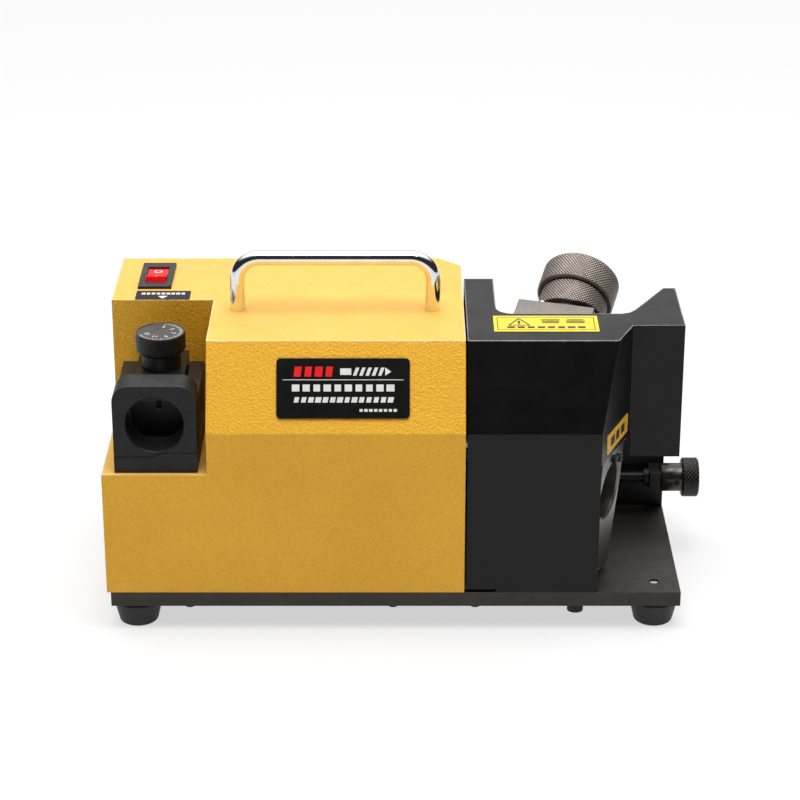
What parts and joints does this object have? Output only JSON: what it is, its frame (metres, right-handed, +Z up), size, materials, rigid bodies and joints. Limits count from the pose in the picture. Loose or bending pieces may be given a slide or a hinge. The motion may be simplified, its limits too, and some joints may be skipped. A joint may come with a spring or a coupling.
{
  "type": "drill bit sharpener",
  "caption": "Bench drill bit sharpener with a motor under a sheet cover, a grinding wheel under a guard, a collet chuck in an inclined port, a point port and a setting gauge.",
  "frame": {"origin": "under the middle of the machine, on the level of the feet's soles", "axes": "+Z up, +X to the right along the motor's shaft, +Y to the back; the nameplate faces -Y"},
  "size_m": [0.3204, 0.163, 0.189],
  "materials": {
    "base_plate": "raw hot-rolled steel, scratched",
    "rubber_feet": "moulded black rubber",
    "foot_screws": "zinc plated",
    "motor_cover": "yellow textured powder coat on bent sheet",
    "cover_screws": "zinc plated",
    "clinch_nuts": "zinc plated",
    "carry_handle": "chrome plated rod",
    "handle_screws": "zinc plated",
    "switch_body": "black nylon",
    "switch_rocker": "red translucent plastic",
    "dial_pointer_label": "printed black film",
    "nameplate": "printed black aluminium plate",
    "cable_gland": "black nylon",
    "gland_nut": "black nylon",
    "control_board": "green circuit board",
    "board_standoffs": "zinc plated",
    "motor_can": "grey painted steel tube",
    "motor_magnets": "ferrite",
    "motor_front_bell": "die cast",
    "motor_rear_bell": "die cast",
    "motor_bearings": "ground bearing steel",
    "motor_bracket": "black painted steel",
    "motor_bracket_screws": "zinc plated",
    "motor_shaft": "ground steel",
    "armature_core": "laminated steel",
    "armature_windings": "varnished copper wire",
    "commutator": "turned copper",
    "brush_holders": "pressed brass",
    "carbon_brushes": "carbon",
    "wheel_hub": "turned steel",
    "grinding_wheel": "turned steel core",
    "abrasive_ring": "bonded grit",
    "wheel_washer": "zinc plated",
    "wheel_nut": "zinc plated",
    "partition": "black powder coat on bent sheet",
    "wheel_guard": "satin black powder coat on bent sheet",
    "plate_bolts": "black oxide",
    "warning_plate": "printed yellow film",
    "port_plate_label": "printed yellow film",
    "point_port": "machined casting",
    "point_port_pins": "black oxide",
    "thinning_base": "black painted casting",
    "thinning_carriage": "machined casting",
    "thinning_holder": "machined and blackened steel",
    "thinning_pin": "ground steel",
    "feed_bracket": "black oxide steel",
    "feed_screw": "black oxide",
    "feed_knob": "knurled, black oxide",
    "knob_set_screw": "black oxide",
    "chuck_body": "knurled steel",
    "chuck_cap": "diamond knurled steel",
    "collet": "hardened spring steel",
    "gauge_base": "black oxide",
    "gauge_bore_block": "black oxide",
    "gauge_rails": "black oxide",
    "gauge_bridge": "black oxide",
    "gauge_screws": "black oxide",
    "gauge_dial": "knurled, black oxide, white graduations",
    "gauge_stem": "black oxide",
    "gauge_stop": "ground steel"
  },
  "bodies": {
    "frame": {"base_plate": "base_plate", "rubber_feet": "rubber_feet", "foot_screws": "foot_screws", "motor_cover": "motor_cover", "cover_screws": "cover_screws", "clinch_nuts": "clinch_nuts", "carry_handle": "carry_handle", "handle_screws": "handle_screws", "switch_body": "switch_body", "dial_pointer_label": "dial_pointer_label", "nameplate": "nameplate", "cable_gland": "cable_gland", "gland_nut": "gland_nut", "control_board": "control_board", "board_standoffs": "board_standoffs", "motor_can": "motor_can", "motor_magnets": "motor_magnets", "motor_front_bell": "motor_front_bell", "motor_rear_bell": "motor_rear_bell", "motor_bearings": "motor_bearings", "motor_bracket": "motor_bracket", "motor_bracket_screws": "motor_bracket_screws", "brush_holders": "brush_holders", "carbon_brushes": "carbon_brushes", "partition": "partition", "wheel_guard": "wheel_guard", "plate_bolts": "plate_bolts", "warning_plate": "warning_plate", "port_plate_label": "port_plate_label", "point_port": "point_port", "point_port_pins": "point_port_pins", "thinning_base": "thinning_base", "feed_bracket": "feed_bracket", "gauge_base": "gauge_base", "gauge_bore_block": "gauge_bore_block", "gauge_rails": "gauge_rails", "gauge_bridge": "gauge_bridge", "gauge_screws": "gauge_screws"},
    "rotor": {"motor_shaft": "motor_shaft", "armature_core": "armature_core", "armature_windings": "armature_windings", "commutator": "commutator", "wheel_hub": "wheel_hub", "grinding_wheel": "grinding_wheel", "abrasive_ring": "abrasive_ring", "wheel_washer": "wheel_washer", "wheel_nut": "wheel_nut"},
    "rocker": {"switch_rocker": "switch_rocker"},
    "gauge_dial": {"gauge_dial": "gauge_dial", "gauge_stem": "gauge_stem"},
    "gauge_stop": {"gauge_stop": "gauge_stop"},
    "thinning_carriage": {"thinning_carriage": "thinning_carriage", "thinning_holder": "thinning_holder", "thinning_pin": "thinning_pin"},
    "feed": {"feed_screw": "feed_screw", "feed_knob": "feed_knob", "knob_set_screw": "knob_set_screw"},
    "collet": {"collet": "collet"},
    "chuck": {"chuck_body": "chuck_body"},
    "chuck_cap": {"chuck_cap": "chuck_cap"}
  },
  "joints": [
    {"name": "rotor_spin", "type": "hinge", "parent": "frame", "child": "rotor", "pos_m": [-0.00815, -0.0155, 0.074], "axis": [1, 0, 0], "continuous": true},
    {"name": "rocker_tilt", "type": "hinge", "parent": "frame", "child": "rocker", "pos_m": [-0.13865, 0.0335, 0.152], "axis": [1, 0, 0], "range_deg": [0, 18]},
    {"name": "dial_turn", "type": "hinge", "parent": "frame", "child": "gauge_dial", "pos_m": [-0.13195, -0.0295, 0.132], "axis": [0, 0, 1], "range_deg": [0, 300]},
    {"name": "stop_slide", "type": "slide", "parent": "frame", "child": "gauge_stop", "axis": [0, 1, 0], "range_m": [0, 0.0065]},
    {"name": "feed_turn", "type": "hinge", "parent": "frame", "child": "feed", "pos_m": [0.09185, 0.0167, 0.0433], "axis": [1, 0, 0], "range_deg": [-720, 720]},
    {"name": "thinning_slide", "type": "slide", "parent": "frame", "child": "thinning_carriage", "axis": [1, 0, 0], "range_m": [-0.002, 0.002]},
    {"name": "chuck_pull", "type": "slide", "parent": "thinning_carriage", "child": "collet", "axis": [0.2875, 0.8348, 0.4695], "range_m": [0, 0.06]},
    {"name": "chuck_turn", "type": "hinge", "parent": "collet", "child": "chuck", "pos_m": [0.08985, 0.0335, 0.1422], "axis": [0.2875, 0.8348, 0.4695], "continuous": true},
    {"name": "cap_turn", "type": "hinge", "parent": "chuck", "child": "chuck_cap", "pos_m": [0.08985, 0.0335, 0.1422], "axis": [0.2875, 0.8348, 0.4695], "range_deg": [0, 180]}
  ],
  "couplings": [
    {"joint": "dial_turn", "follows": "stop_slide", "rad_per_m": 805.53},
    {"joint": "feed_turn", "follows": "thinning_slide", "rad_per_m": -6283.2}
  ]
}
